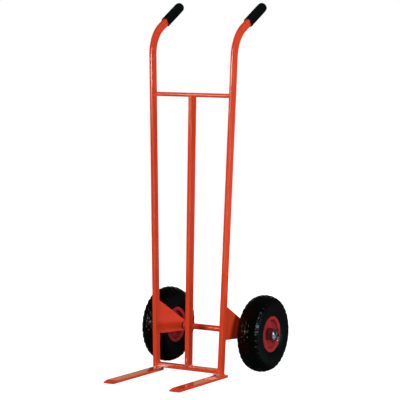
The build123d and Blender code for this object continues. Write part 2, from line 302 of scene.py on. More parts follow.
paintSkin = makePaintSkin(paintSkinLook)
edgeRubAndSheen = makeEdgeRubAndSheen(edgeRubAndSheenLook)
settledDust = makeSettledDust(dustLook)
rubberSkin = makeRubberSkin(rubberSkinLook)
turnedMarks = makeTurnedMarks()
tubeCrown = makeTubeCrown()
treadWear = makeTreadWear()
print("shared effects made")

# materials


def clearTree(owner):
    owner.use_nodes = True
    owner.node_tree.nodes.clear()
    return owner.node_tree


def startMaterial(name, sockets):
    material = bpy.data.materials.new(name)
    tree = clearTree(material)
    output = put(tree, "ShaderNodeOutputMaterial", (900, 0))
    shader = put(tree, "ShaderNodeBsdfPrincipled", (500, 0), sockets)
    tree.links.new(shader.outputs[0], output.inputs["Surface"])
    return material, tree, shader


def addBump(tree, shader, height, distance, strength):
    bump = put(tree, "ShaderNodeBump", (200, -500), {"Distance": distance, "Strength": strength})
    tree.links.new(height, bump.inputs["Height"])
    tree.links.new(bump.outputs[0], shader.inputs["Normal"])
    return bump


paintWear = {"edgeBreakUp": 70, "fleckScale": 120, "dustColour": (0.55, 0.5, 0.45)}


def makePaint(name, look):
    material, tree, shader = startMaterial(name, {"Specular IOR Level": look["gloss"]})
    skin = useGroup(tree, paintSkin, (-700, 0), {
        "Peel Scale": look["peelScale"], "Wave Scale": look["waveScale"], "Wave Share": look["waveShare"]})
    edgeMask = useGroup(tree, edgeRubAndSheen, (-700, -300),
                   {"Width": look["edgeWidth"], "Break Up": paintWear["edgeBreakUp"]})
    dust = useGroup(tree, settledDust, (-700, -600),
                    {"Amount": look["dust"], "Fleck Scale": paintWear["fleckScale"]})
    body = blendColour(tree, (-400, 200), skin.outputs["Shade"], rgb(look["deep"]), rgb(look["bright"]))
    # lighter edge colour: rubbed paint and a painted edge highlight
    edgeLightened = blendColour(tree, (-150, 200), edgeMask.outputs["Mask"], body, rgb(look["edge"]))
    dusty = blendColour(tree, (100, 200), dust.outputs["Mask"], edgeLightened, rgb(paintWear["dustColour"]))
    tree.links.new(dusty, shader.inputs["Base Color"])
    smooth = remap(tree, (-100, -100), skin.outputs["Haze"], *look["roughness"])
    rough = combine(tree, (200, -100), "ADD", smooth, dust.outputs["Mask"])
    tree.links.new(rough, shader.inputs["Roughness"])
    bump = addBump(tree, shader, skin.outputs["Height"], look["peelDepth"], look["peelStrength"])
    if "crown" in look:
        crown = useGroup(tree, tubeCrown, (-400, -800), look["crown"])
        bulge = put(tree, "ShaderNodeBump", (-100, -800), {"Distance": 1, "Strength": 1})
        tree.links.new(crown.outputs["Height"], bulge.inputs["Height"])
        tree.links.new(bulge.outputs[0], bump.inputs["Normal"])
    return material


rubberWear = {"fleckScale": 160, "dustColour": (0.16, 0.15, 0.14)}


def makeRubber(name, look):
    material, tree, shader = startMaterial(name, {"Specular IOR Level": look["gloss"]})
    skin = useGroup(tree, rubberSkin, (-700, 0),
                    {"Pebble Scale": look["pebbleScale"], "Blotch Scale": look["blotchScale"]})
    dust = useGroup(tree, settledDust, (-700, -400),
                    {"Amount": look["dust"], "Fleck Scale": rubberWear["fleckScale"]})
    body = blendColour(tree, (-400, 200), skin.outputs["Blotch"], rgb(look["deep"]), rgb(look["bright"]))
    dusty = blendColour(tree, (-150, 200), dust.outputs["Mask"], body, rgb(rubberWear["dustColour"]))
    tree.links.new(dusty, shader.inputs["Base Color"])
    addBump(tree, shader, skin.outputs["Height"], look["pebbleDepth"], look["pebbleStrength"])
    rough = remap(tree, (0, -100), skin.outputs["Blotch"], *look["roughness"])
    if "tread" in look:
        wear = useGroup(tree, treadWear, (-700, -700), look["tread"])
        polish = remap(tree, (0, -300), wear.outputs["Mask"], 0, look["worn"])
        rough = combine(tree, (250, -200), "ADD", rough, polish)
    tree.links.new(rough, shader.inputs["Roughness"])
    return material


metalWear = {"edgeWidth": 0.0008, "edgeBreakUp": 200, "ringStrength": 0.4}


def makeMetal(name, look):
    material, tree, shader = startMaterial(name, {"Metallic": look["metallic"]})
    marks = useGroup(tree, turnedMarks, (-700, 0),
                     {"Ring Scale": look["ringScale"], "Blotch Scale": look["blotchScale"]})
    edgeMask = useGroup(tree, edgeRubAndSheen, (-700, -300),
                   {"Width": metalWear["edgeWidth"], "Break Up": metalWear["edgeBreakUp"]})
    body = blendColour(tree, (-400, 200), marks.outputs["Blotch"], rgb(look["deep"]), rgb(look["bright"]))
    # lighter edges: worn metal and a painted edge highlight
    edgeLightened = blendColour(tree, (-150, 200), edgeMask.outputs["Mask"], body, rgb(look["edge"]))
    tree.links.new(edgeLightened, shader.inputs["Base Color"])
    uneven = combine(tree, (-250, -100), "MULTIPLY", marks.outputs["Blotch"], marks.outputs["Rings"])
    tree.links.new(remap(tree, (0, -100), uneven, *look["roughness"]), shader.inputs["Roughness"])
    addBump(tree, shader, marks.outputs["Rings"], look["ringDepth"], metalWear["ringStrength"])
    return material


def makeWeldGlintShadeFinish(name, look):
    # dark paint with patches of bare steel: the near-black paint is painted shade among the lumps, and the
    # near-white steel patches are partly painted glints
    material, tree, shader = startMaterial(name, {"Specular IOR Level": look["gloss"]})
    skin = useGroup(tree, paintSkin, (-700, 0), {
        "Peel Scale": look["peelScale"], "Wave Scale": look["waveScale"], "Wave Share": look["waveShare"]})
    patches = noise(tree, (-700, -300), objectPlace(tree), look["patchScale"], detail=1)
    bare = remap(tree, (-400, -200), patches, 0, 1, *look["bareBetween"])
    body = blendColour(tree, (-400, 200), skin.outputs["Shade"], rgb(look["deep"]), rgb(look["bright"]))
    mixed = blendColour(tree, (-150, 200), bare, body, rgb(look["steel"]))
    tree.links.new(mixed, shader.inputs["Base Color"])
    tree.links.new(remap(tree, (0, -350), bare, 0, look["metallic"]), shader.inputs["Metallic"])
    tree.links.new(remap(tree, (0, -200), bare, *look["roughness"]), shader.inputs["Roughness"])
    addBump(tree, shader, skin.outputs["Height"], look["peelDepth"], look["peelStrength"])
    return material


framePaintLook = {
    "bright": (0.75, 0.058, 0.021), "deep": (0.70, 0.051, 0.020), "edge": (0.86, 0.13, 0.03),
    "edgeWidth": 0.0012, "roughness": (0.03, 0.09), "gloss": 0.45,
    "peelScale": 300, "waveScale": 26, "waveShare": 2.0, "peelDepth": 0.00004, "peelStrength": 0.22,
    "dust": 0.03,
}
# near-black paint as painted shade, and near-white steel patches as painted glints
weldGlintShadeLook = {
    "bright": (0.10, 0.02, 0.02), "deep": (0.02, 0.008, 0.01), "steel": (0.98, 0.94, 0.98),
    "bareBetween": (0.49, 0.54), "roughness": (0.25, 0.12), "metallic": 0.3, "gloss": 0.5,
    "peelScale": 500, "waveScale": 160, "waveShare": 0.5, "peelDepth": 0.0002, "peelStrength": 0.5,
    "patchScale": 340,
}
rimPaintLook = {
    "bright": (0.33, 0.019, 0.026), "deep": (0.29, 0.016, 0.022), "edge": (0.56, 0.04, 0.04),
    "edgeWidth": 0.0008, "roughness": (0.04, 0.1), "gloss": 0.45,
    "peelScale": 420, "waveScale": 40, "waveShare": 1.0, "peelDepth": 0.00002, "peelStrength": 0.3,
    "dust": 0.02,
}
tyreLook = {
    "bright": (0.0010, 0.0011, 0.0012), "deep": (0.0005, 0.0006, 0.0006),
    "gloss": 0.24, "roughness": (0.44, 0.52),
    "pebbleScale": 700, "blotchScale": 14, "pebbleDepth": 0.0002, "pebbleStrength": 0.2, "dust": 0.004,
    "tread": {"From": 0.105, "To": 0.110}, "worn": -0.31,  # smoother where it rolls
}
tubeLook = {
    "bright": (0.014, 0.014, 0.014), "deep": (0.008, 0.008, 0.008), "gloss": 0.4, "roughness": (0.5, 0.65),
    "pebbleScale": 400, "blotchScale": 20, "pebbleDepth": 0.0002, "pebbleStrength": 0.2, "dust": 0.1,
}
gripLook = {
    "bright": (0.0030, 0.0052, 0.0048), "deep": (0.0018, 0.0034, 0.0031),
    "gloss": 0.12, "roughness": (0.36, 0.46),
    "pebbleScale": 1100, "blotchScale": 30, "pebbleDepth": 0.0002, "pebbleStrength": 0.25, "dust": 0.02,
}
sealLook = {
    "bright": (0.012, 0.012, 0.016), "deep": (0.006, 0.006, 0.009), "gloss": 0.4, "roughness": (0.45, 0.6),
    "pebbleScale": 1500, "blotchScale": 60, "pebbleDepth": 0.0001, "pebbleStrength": 0.2, "dust": 0.0,
}
valveCapLook = {
    "bright": (0.012, 0.012, 0.012), "deep": (0.007, 0.007, 0.007), "gloss": 0.5, "roughness": (0.3, 0.42),
    "pebbleScale": 1600, "blotchScale": 90, "pebbleDepth": 0.0001, "pebbleStrength": 0.2, "dust": 0.02,
}
zincLook = {
    "bright": (0.80, 0.83, 0.84), "deep": (0.62, 0.68, 0.70), "edge": (0.92, 0.93, 0.93), "metallic": 1.0,
    "roughness": (0.03, 0.07), "ringScale": 500, "blotchScale": 160, "ringDepth": 0.000003,
}
blackSteelLook = {
    "bright": (0.016, 0.016, 0.018), "deep": (0.009, 0.009, 0.010), "edge": (0.06, 0.06, 0.06),
    "metallic": 0.0, "roughness": (0.28, 0.42), "ringScale": 500, "blotchScale": 120, "ringDepth": 0.00002,
}
steelLook = {
    "bright": (0.62, 0.62, 0.64), "deep": (0.50, 0.50, 0.52), "edge": (0.75, 0.75, 0.76), "metallic": 1.0,
    "roughness": (0.12, 0.22), "ringScale": 800, "blotchScale": 200, "ringDepth": 0.00001,
}
valveLook = {
    "bright": (0.86, 0.80, 0.66), "deep": (0.74, 0.66, 0.50), "edge": (0.95, 0.92, 0.85), "metallic": 1.0,
    "roughness": (0.22, 0.34), "ringScale": 300, "blotchScale": 240, "ringDepth": 0.00001,
}

finishes = {
    "frame_paint": makePaint("orangeRedPaint", framePaintLook),
    "rim_paint": makePaint("crimsonPaint", rimPaintLook),
    "tyre": makeRubber("tyreRubber", tyreLook),
    "inner_tube": makeRubber("tubeRubber", tubeLook),
    "grip": makeRubber("gripPlastic", gripLook),
    "zinc": makeMetal("brightZinc", zincLook),
    "bearing_steel": makeMetal("groundSteel", steelLook),
    "seal": makeRubber("sealRubber", sealLook),
    "black_steel": makeMetal("blackedSteel", blackSteelLook),
    "valve_metal": makeMetal("valveBrass", valveLook),
    "valve_cap": makeRubber("valveCapPlastic", valveCapLook),
}

weldGlintShadeFinish = makeWeldGlintShadeFinish("weldPaintedGlintAndShade", weldGlintShadeLook)
crownRise = 0.0006
centreCrown = {
    "Foot": 0, "Splay": 0,
    "Half Width": frameLine["centreHalfWide"] * millimetre, "Rise": crownRise,
}
sideCrown = {
    "Foot": frameLine["foot"][0] * millimetre, "Splay": frameLine["splay"],
    "Half Width": frameLine["halfWide"] * millimetre, "Rise": crownRise,
}
# painted shade: a darker copy of the crimson paint, so the hub tubes look shaded
shadedHubLook = {**rimPaintLook, "bright": (0.13, 0.012, 0.018), "deep": (0.09, 0.008, 0.013)}
sideTubePaint = makePaint("sideTubePaint", {**framePaintLook, "crown": sideCrown})
hubPaintedShade = makePaint("hubPaintedShade", shadedHubLook)
nodePaints = {  # in place of their slot's finish
    "left_upright": sideTubePaint, "right_upright": sideTubePaint,
    "left_hub_tube": hubPaintedShade, "right_hub_tube": hubPaintedShade,
    "centre_upright": makePaint("centreTubePaint", {**framePaintLook, "crown": centreCrown}),
}

for part in frame["record"]["subparts"]:
    cadMesh = nodes[part["node"]]
    for materialSlot in cadMesh.material_slots:
        materialSlot.material = nodePaints.get(part["node"], finishes[part["material_slot"]])
print("materials made and given to the CAD nodes")

# mesh helpers; pieces are drawn in millimetres and brought to metres when placed

meshRules = {"cornerSegments": 4, "mergeWithin": 0.001, "sharpAngle": 38}


def drawLine(bm, points, closed):
    # a wire in the XZ plane; a third number on a point rounds that corner
    corners = [bm.verts.new((p[0], 0, p[1])) for p in points]
    for pair in zip(corners, corners[1:]):
        bm.edges.new(pair)
    if closed:
        bm.edges.new((corners[-1], corners[0]))
    for corner, point in zip(corners, points):
        if len(point) > 2:
            bmesh.ops.bevel(bm, geom=[corner], offset=point[2], offset_type="OFFSET", profile=0.5,
                            segments=meshRules["cornerSegments"], affect="VERTICES", material=-1)


def spinAll(bm, axis, steps):
    bmesh.ops.spin(bm, geom=bm.verts[:] + bm.edges[:], cent=(0, 0, 0), axis=axis, dvec=(0, 0, 0),
                   angle=math.tau, steps=steps, use_merge=True)
    closeUp(bm)


def closeUp(bm):
    bmesh.ops.remove_doubles(bm, verts=bm.verts[:], dist=meshRules["mergeWithin"])
    bmesh.ops.recalc_face_normals(bm, faces=bm.faces[:])


def toMetres(bm, sign=1):
    # drawn for the right side, and mirrored by the sign for the left
    bmesh.ops.scale(bm, vec=(sign * millimetre, millimetre, millimetre), verts=bm.verts[:])


def placeOnWheel(bm, side):
    toMetres(bm, sideSign[side])
    bmesh.ops.translate(bm, vec=wheelCentre[side + "_wheel"], verts=bm.verts[:])
    bmesh.ops.recalc_face_normals(bm, faces=bm.faces[:])


def makePiece(name, bm, body, slotName, standsFor=(), sharpAngle=meshRules["sharpAngle"], finish=None):
    mesh = bpy.data.meshes.new(name)
    bm.to_mesh(mesh)
    bm.free()
    mesh.shade_smooth()
    mesh.set_sharp_from_angle(angle=math.radians(sharpAngle))
    mesh.materials.append(finish or finishes[slotName])
    piece = bpy.data.objects.new(name, mesh)
    scene.collection.objects.link(piece)
    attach(piece, body)
    if standsFor:
        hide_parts(*standsFor)


# tyres

tyreShape = {
    "crown": {"centre": (0, 75), "radius": 55, "length": 35.39},  # the two arcs of the section
    "side": {"centre": (-1.618, 91.604), "radius": 44.147, "start": 0.90133, "length": 63.37},
    "halfPoints": 70, "steps": 136,  # down each side of the section, and round the axle
    "liner": {"reach": 88, "points": 23, "below": 8},  # the inside, from shoulder to shoulder
    "bead": [(22.6, 60), (22.6, 51.2), (27.6, 51.2), (30.1, 53.7)],
    # ridges on the side walls: round the section, height, spread
    "ridges": [(56, 0.4, 0.7), (59, 0.4, 0.7), (84, 0.4, 0.7), (89, 0.9, 1.3)],
    "treadDepth": 2.4, "treadEnds": (38, 50),  # how deep, and where it runs out down the side
    "pitches": 34, "outerRadius": 130,
    "crownShare": 0.36, "crownWidth": 2.6,  # a block's rounded top, in its height and from its edge
    "sunk": 0.6, "topBelow": 0.05,  # a block's foot in the carcass, and its top under the outside
    "blockCorners": 6,
    # rows of blocks: across, pitch share, half sizes
    "rows": [(0, 0, 6.2, 10.2), (13.6, 0.5, 6.2, 10.2), (-13.6, 0.5, 6.2, 10.2)],
    "lugs": {"from": 23.0, "to": 47, "halfLength": 7.6, "taper": 0.8, "segments": 7},
}


def sectionPoint(shape, across, below):
    # a point of the section, measured from the crown round the outside, and so far below it
    reach, arc = abs(across), shape["crown"]
    angle = reach / arc["radius"]
    if reach > arc["length"]:
        reach, arc = reach - arc["length"], shape["side"]
        angle = arc["start"] + reach / arc["radius"]
    depth = arc["radius"] - below
    x, r = arc["centre"][0] + depth * math.sin(angle), arc["centre"][1] + depth * math.cos(angle)
    return (math.copysign(x, across), r)


def treadFloor(shape, across):
    # how far the floor between the blocks lies below the outside, easing out down the side
    start, end = shape["treadEnds"]
    share = min(max((abs(across) - start) / (end - start), 0), 1)
    return shape["treadDepth"] * (1 - share * share * (3 - 2 * share))


def drawCarcass(bm, shape):
    reach = shape["crown"]["length"] + shape["side"]["length"]
    count, liner, bead = shape["halfPoints"], shape["liner"], shape["bead"]
    outside = []
    for index in range(-count, count + 1):
        across = reach * index / count
        raised = sum(h * math.exp(-((abs(across) - d) / s) ** 2) for d, h, s in shape["ridges"])
        outside.append(sectionPoint(shape, across, treadFloor(shape, across) - raised))
    spacing = 2 * liner["reach"] / (liner["points"] - 1)
    inside = [sectionPoint(shape, liner["reach"] - spacing * index, liner["below"])
              for index in range(liner["points"])]
    drawLine(bm, outside + bead[::-1] + inside + [(-x, r) for x, r in bead], True)
    spinAll(bm, (1, 0, 0), shape["steps"])


def raiseBlock(bm, faces, shape):
    # a flat outline becomes a block with a worn, rounded top
    raised = bmesh.ops.extrude_face_region(bm, geom=faces)["geom"]
    top = [g for g in raised if isinstance(g, bmesh.types.BMVert)]
    crownHeight = shape["treadDepth"] * shape["crownShare"]
    bmesh.ops.translate(bm, vec=(0, 0, shape["treadDepth"] - crownHeight), verts=top)
    crest = [g for g in raised if isinstance(g, bmesh.types.BMFace)]
    bmesh.ops.inset_region(bm, faces=crest, thickness=shape["crownWidth"], use_even_offset=True)
    bmesh.ops.translate(bm, vec=(0, 0, crownHeight), verts=list({v for f in crest for v in f.verts}))


def wrapOnTread(bm, shape):
    for vert in bm.verts:
        across, along, share = vert.co.x, vert.co.y, vert.co.z / shape["treadDepth"]
        below = (1 - share) * (treadFloor(shape, across) + shape["sunk"]) + share * shape["topBelow"]
        x, r = sectionPoint(shape, across, below)
        angle = along / shape["outerRadius"]
        vert.co = (x, r * math.sin(angle), r * math.cos(angle))


def drawTread(shape):
    bm = bmesh.new()
    pitch = math.tau * shape["outerRadius"] / shape["pitches"]
    for across, share, halfWide, halfLong in shape["rows"]:
        ring = bmesh.ops.create_circle(bm, cap_ends=True, segments=shape["blockCorners"], radius=1)["verts"]
        bmesh.ops.scale(bm, vec=(halfWide, halfLong, 1), verts=ring)
        bmesh.ops.translate(bm, vec=(across, share * pitch, 0), verts=ring)
        raiseBlock(bm, list({f for v in ring for f in v.link_faces}), shape)
    lugs = shape["lugs"]
    for sign in (1, -1):
        sheet = bmesh.ops.create_grid(bm, x_segments=lugs["segments"], y_segments=1, size=0.5)["verts"]
        for vert in sheet:
            far = vert.co.x + 0.5
            vert.co.x = sign * (lugs["from"] + far * (lugs["to"] - lugs["from"]))
            vert.co.y *= 2 * lugs["halfLength"] * (1 - far * (1 - lugs["taper"]))
        raiseBlock(bm, list({f for v in sheet for f in v.link_faces}), shape)
    wrapOnTread(bm, shape)
    bmesh.ops.recalc_face_normals(bm, faces=bm.faces[:])
    turns = shape["pitches"] - 1
    bmesh.ops.spin(bm, geom=bm.verts[:] + bm.edges[:] + bm.faces[:], cent=(0, 0, 0), axis=(1, 0, 0),
                   dvec=(0, 0, 0), angle=math.tau * turns / shape["pitches"], steps=turns, use_duplicate=True)
    return bm


def makeTyre(side):
    bm = bmesh.new()
    drawCarcass(bm, tyreShape)
    tread = drawTread(tyreShape)
    loose = bpy.data.meshes.new("treadBlocks")
    tread.to_mesh(loose)
    tread.free()
    bm.from_mesh(loose)
    bpy.data.meshes.remove(loose)
    placeOnWheel(bm, side)
    makePiece(side + "TyreWithTread", bm, side + "_wheel", "tyre", [side + "_tyre"])


for side in sideSign:
    makeTyre(side)
print("tyres made")

# rims

rimShape = {
    "steps": 128,
    "pressing": [  # along the axle from the wheel's middle, radius, corner
        (0.05, 48), (16, 48, 2), (22.5, 50.8, 2), (30.5, 50.8, 2.2), (30.5, 61, 1), (33, 61, 1.2),
        (33, 48.3, 4.4), (20.5, 48.3, 4.4), (20.5, 31, 1.2), (22.2, 28.2, 1.2), (22.2, 21.1, 0.6),
        (19.7, 21.1, 0.6), (19.7, 27.2, 1.2), (18, 30, 1.2), (18, 45.5, 1), (0.05, 45.5),
    ],
}


def makeRimHalf(side, half):
    bm = bmesh.new()
    drawLine(bm, rimShape["pressing"], True)
    spinAll(bm, (1, 0, 0), rimShape["steps"])
    if half == "inner":
        bmesh.ops.scale(bm, vec=(-1, 1, 1), verts=bm.verts[:])
    placeOnWheel(bm, side)
    makePiece(f"{side}Rim{half.title()}Pressing", bm, side + "_wheel", "rim_paint",
              [f"{side}_rim_{half}_half"])


for side in sideSign:
    for half in ("outer", "inner"):
        makeRimHalf(side, half)
print("rims made")

# valves: grommet in the rim disc and a ribbed cap; the stem is the CAD node

valveShape = {
    "angle": -44,
    "hole": (20.5, 39, 0), "knee": (37, 39, 0), "end": (36, 38, 16.5),  # along the axle, out, aside
    "grommet": [(3.3, -1.5), (6.0, -1.5), (6.0, 0.6, 0.5), (4.6, 2.6, 0.6), (3.3, 2.6)], "grommetSteps": 28,
    "cap": [(0, 9), (3.3, 9, 0.6), (4.0, 7.6, 0.5), (4.4, 0.8, 0.4), (4.2, 0), (0, 0)],
    "ribs": 14, "ribDepth": 0.35, "ribEnds": (0.5, 7.9), "capSharpAngle": 25,
}


def valvePoint(place):
    angle = math.radians(valveShape["angle"])
    outward = Vector((0, math.cos(angle), math.sin(angle)))
    aside = Vector((0, -outward.z, outward.y))
    return Vector((place[0], 0, 0)) + outward * place[1] + aside * place[2]


def standOn(bm, start, toward):
    # what was drawn upright at the origin stands at start, pointing on along the stem
    direction = (valvePoint(toward) - valvePoint(start)).normalized()
    turn = direction.to_track_quat("Z", "X").to_matrix().to_4x4()
    bmesh.ops.transform(bm, matrix=Matrix.Translation(valvePoint(start)) @ turn, verts=bm.verts[:])


def makeValveGrommet(side):
    bm = bmesh.new()
    drawLine(bm, valveShape["grommet"], True)
    spinAll(bm, (0, 0, 1), valveShape["grommetSteps"])
    standOn(bm, valveShape["hole"], valveShape["knee"])
    placeOnWheel(bm, side)
    makePiece(side + "ValveGrommet", bm, side + "_wheel", "valve_cap")


def makeValveCap(side):
    bm = bmesh.new()
    drawLine(bm, valveShape["cap"], False)
    spinAll(bm, (0, 0, 1), 2 * valveShape["ribs"])
    low, high = valveShape["ribEnds"]
    for vert in bm.verts:
        turn = math.atan2(vert.co.y, vert.co.x) * valveShape["ribs"] / math.tau
        if low < vert.co.z < high and round(2 * turn) % 2:
            vert.co.xy *= 1 - valveShape["ribDepth"] / vert.co.xy.length
    knee, end = valveShape["knee"], valveShape["end"]
    standOn(bm, end, [2 * b - a for a, b in zip(knee, end)])
    placeOnWheel(bm, side)
    makePiece(side + "ValveDustCap", bm, side + "_wheel", "valve_cap", [side + "_valve_cap"],
              valveShape["capSharpAngle"])


for side in sideSign:
    makeValveGrommet(side)
    makeValveCap(side)
print("valves made")

# axle caps, pressed from sheet: a rolled rim, a groove and a dome

capShape = {
    "steps": 56,
    "outline": [  # along the axle from the wheel's middle, radius, corner
        (41.1, 0), (41.1, 18.6, 0.6), (42.0, 20, 0.9), (44.2, 20, 1.1), (45.6, 18.9, 0.8), (44.9, 17.2, 0.6),
        (45.7, 15.9, 0.7), (47.7, 12.8, 5), (50.1, 7.6, 5), (51.0, 2.6, 2), (51.1, 0),
    ],
}


def makeAxleCap(side):
    bm = bmesh.new()
    drawLine(bm, capShape["outline"], False)
    spinAll(bm, (1, 0, 0), capShape["steps"])
    placeOnWheel(bm, side)
    makePiece(side + "DomedCap", bm, "frame", "zinc", [side + "_axle_cap"])


for side in sideSign:
    makeAxleCap(side)
print("axle caps made")

# grips

gripShape = {
    "mouth": (159.744, 90.037, 1171.381), "direction": (0.014599, 0.870354, 0.492210),
    "steps": 48,
    "outline": [  # radius, distance from the mouth, corner
        (0, 0.4), (14.6, 0.4, 0.5), (15.2, 0, 0.3), (16.9, 0.6, 0.6), (16.98, 6.5, 0.7), (16.2, 7.6, 0.5),
        (16.2, 9.2, 0.5), (16.8, 10.4, 1.0), (16.9, 40, 8), (16.8, 92, 6), (16.6, 104.5, 3.5),
        (14.2, 111.2, 3.5), (8, 113.7, 3), (0, 114),
    ],
}


def makeGrip(side):
    bm = bmesh.new()
    drawLine(bm, gripShape["outline"], False)
    spinAll(bm, (0, 0, 1), gripShape["steps"])
    turn = Vector(gripShape["direction"]).to_track_quat("Z", "X").to_matrix().to_4x4()
    bmesh.ops.transform(bm, matrix=Matrix.Translation(gripShape["mouth"]) @ turn, verts=bm.verts[:])
    toMetres(bm, sideSign[side])
    bmesh.ops.recalc_face_normals(bm, faces=bm.faces[:])
    makePiece(side + "MouldedGrip", bm, "frame", "grip", [side + "_grip"])


for side in sideSign:
    makeGrip(side)
print("grips made")

# weld beads

weldShape = {
    "pitch": 3.2, "ripple": 0.22, "lean": 0.9,  # step of the bead, its depth, and how far it bows forward
    "lumps": [(0.1, 1, 2.3), (0.06, 2.1, 5.1)],  # height, share of the bead's own shift, turn for each step
    "shift": 6, "endShare": 0.8,  # most that a bead is shifted, and its tapered ends against its radius
    "sample": 0.55, "leastSamples": 8, "around": 9, "ringSamples": 6,
    "sharpAngle": 80, "seed": 11,
}


def rippleAt(step):
    return 1 - weldShape["ripple"] * (1 - math.sqrt(abs(math.sin(math.pi * step))))


def beadRadius(distance, length, angle, radius, shift):
    step = (distance + weldShape["lean"] * math.cos(angle)) / weldShape["pitch"]
    lump = sum(height * math.sin(share * shift + turn * step) for height, share, turn in weldShape["lumps"])
    ends = min(distance, length - distance) / (weldShape["endShare"] * radius)
    taper = math.sqrt(max(0, 1 - (1 - min(ends, 1)) ** 2))
    return radius * taper * (rippleAt(step) + lump)


def weldRun(bm, start, end, radius, shift, up):
    # a straight bead between two points, closed at both ends
    length = (end - start).length
    ahead = (end - start).normalized()
    across = ahead.cross(Vector(up)).normalized()
    over = across.cross(ahead)
    count = max(weldShape["leastSamples"], round(length / weldShape["sample"]))
    skin = bmesh.ops.create_grid(bm, x_segments=count, y_segments=weldShape["around"], size=0.5)["verts"]
    for vert in skin:
        distance, angle = (vert.co.x + 0.5) * length, (vert.co.y + 0.5) * math.tau
        r = beadRadius(distance, length, angle, radius, shift)
        vert.co = start + ahead * distance + (across * math.cos(angle) + over * math.sin(angle)) * r


def weldRing(bm, centre, axis, ringRadius, radius):
    # a bead that goes all round a bar
    axis = Vector(axis).normalized()
    first = axis.orthogonal().normalized()
    second = axis.cross(first)
    laps = round(math.tau * ringRadius / weldShape["pitch"])
    length = laps * weldShape["pitch"]
    skin = bmesh.ops.create_grid(bm, x_segments=laps * weldShape["ringSamples"],
                                 y_segments=weldShape["around"], size=0.5)["verts"]
    for vert in skin:
        distance, angle = (vert.co.x + 0.5) * length, (vert.co.y + 0.5) * math.tau
        r = radius * rippleAt(distance / weldShape["pitch"])
        turn = math.tau * distance / length
        out = first * math.cos(turn) + second * math.sin(turn)
        vert.co = Vector(centre) + out * (ringRadius + r * math.cos(angle)) + axis * (r * math.sin(angle))


def startRuns(sign):
    # gives the function that draws beads on one side of the frame, or in its middle for 0
    wander = random.Random(weldShape["seed"] + sign)
    flip = Vector((sign or 1, 1, 1))

    def run(bm, start, end, radius, up=(0, 0, 1)):
        shift = wander.uniform(0, weldShape["shift"])
        weldRun(bm, Vector(start) * flip, Vector(end) * flip, radius, shift, up)

    return run


def finishWeld(name, bm, finish=None):
    closeUp(bm)
    toMetres(bm)
    makePiece(name, bm, "frame", "frame_paint", sharpAngle=weldShape["sharpAngle"], finish=finish)


def uprightAt(height):
    (x, y), splay, lean = (frameLine[k] for k in ("foot", "splay", "lean"))
    return Vector((x + splay * height, y + lean * height, height))


def uprightFaces(height):
    # where the right upright's inner, outer, front and back faces are
    middle = uprightAt(height)
    halfWide, halfDeep = frameLine["halfWide"], frameLine["halfDeep"]
    return middle.x - halfWide, middle.x + halfWide, middle.y - halfDeep, middle.y + halfDeep


footWeld = {
    "lift": 0.6, "overlap": 1,  # above the prong, and where the front bead with bare steel, painted glints and painted shade meets the painted one
    "bare": {"radius": 3.5, "off": 0.6, "past": 1.5},
    "underBar": {"radius": 3.9, "inside": 0.5, "length": 15},
    "front": {"radius": 1.9, "inside": 0.2, "past": 0.5},
    "back": {"radius": 2.4, "pastInner": 1.5, "pastOuter": 0.8},
    "outer": {"radius": 2.2, "pastFront": 0.5, "pastBack": 0.8},
}


def makeFootWelds(side, run):
    prongTop, overlap = frameLine["prongTop"], footWeld["overlap"]
    inner, outer, front, back = uprightFaces(prongTop)
    middle = uprightAt(prongTop).x
    z = prongTop + footWeld["lift"]

    bm = bmesh.new()
    bead = footWeld["bare"]
    x, y = inner - bead["off"], front - bead["off"]
    run(bm, (inner - bead["past"], y, z), (middle + overlap, y, z), bead["radius"])
    run(bm, (x, front - bead["past"], z), (x, back + bead["past"], z), bead["radius"])
    bead = footWeld["underBar"]
    y, between = front + bead["inside"], (prongTop + frameLine["barBottom"]) / 2
    run(bm, (inner, y, between), (inner - bead["length"], y, between), bead["radius"])
    finishWeld(side + "FootWeld", bm, weldGlintShadeFinish)

    bm = bmesh.new()
    bead = footWeld["front"]
    y = front + bead["inside"]
    run(bm, (middle - overlap, y, z), (outer + bead["past"], y, z), bead["radius"])
    bead = footWeld["back"]
    run(bm, (inner - bead["pastInner"], back, z), (outer + bead["pastOuter"], back, z), bead["radius"])
    bead = footWeld["outer"]
    run(bm, (outer, front - bead["pastFront"], z), (outer, back + bead["pastBack"], z), bead["radius"])
    finishWeld(side + "FootSeam", bm)


lowerBarWeld = {
    "top": {"radius": 2.1, "off": 0.5, "lift": 0.4, "inside": 0.5},
    "upright": {"radius": 1.9, "off": 0.3, "inside": 0.9, "past": 1},
}


def makeLowerBarWeld(side, run):
    low, top = frameLine["barBottom"], frameLine["barTop"]
    front, back = uprightFaces(frameLine["prongTop"])[2:]
    innerLow, innerTop = uprightFaces(low)[0], uprightFaces(top)[0]
    bm = bmesh.new()
    bead = lowerBarWeld["top"]
    x, z = innerTop - bead["off"], top + bead["lift"]
    run(bm, (x, front + bead["inside"], z), (x, back - bead["inside"], z), bead["radius"])
    bead = lowerBarWeld["upright"]
    for y in (front + bead["inside"], back - bead["inside"]):
        run(bm, (innerLow - bead["off"], y, low), (innerTop - bead["off"], y, top + bead["past"]),
            bead["radius"], (0, 1, 0))
    finishWeld(side + "LowerBarWeld", bm)


upperBarWeld = {"radius": 2.6, "off": 0.3, "clear": 0.8}


def makeUpperBarWeld(side):
    height, barRadius = frameLine["upperBar"]
    x = sideSign[side] * (uprightFaces(height)[0] - upperBarWeld["off"])
    bm = bmesh.new()
    weldRing(bm, (x, uprightAt(height).y, height), (1, 0, 0),
             barRadius + upperBarWeld["clear"], upperBarWeld["radius"])
    finishWeld(side + "UpperBarWeld", bm)


bracketWeld = {"radius": 1.9, "off": 0.4, "plateHalf": 2.5, "heights": [(122, 148), (206, 236)]}


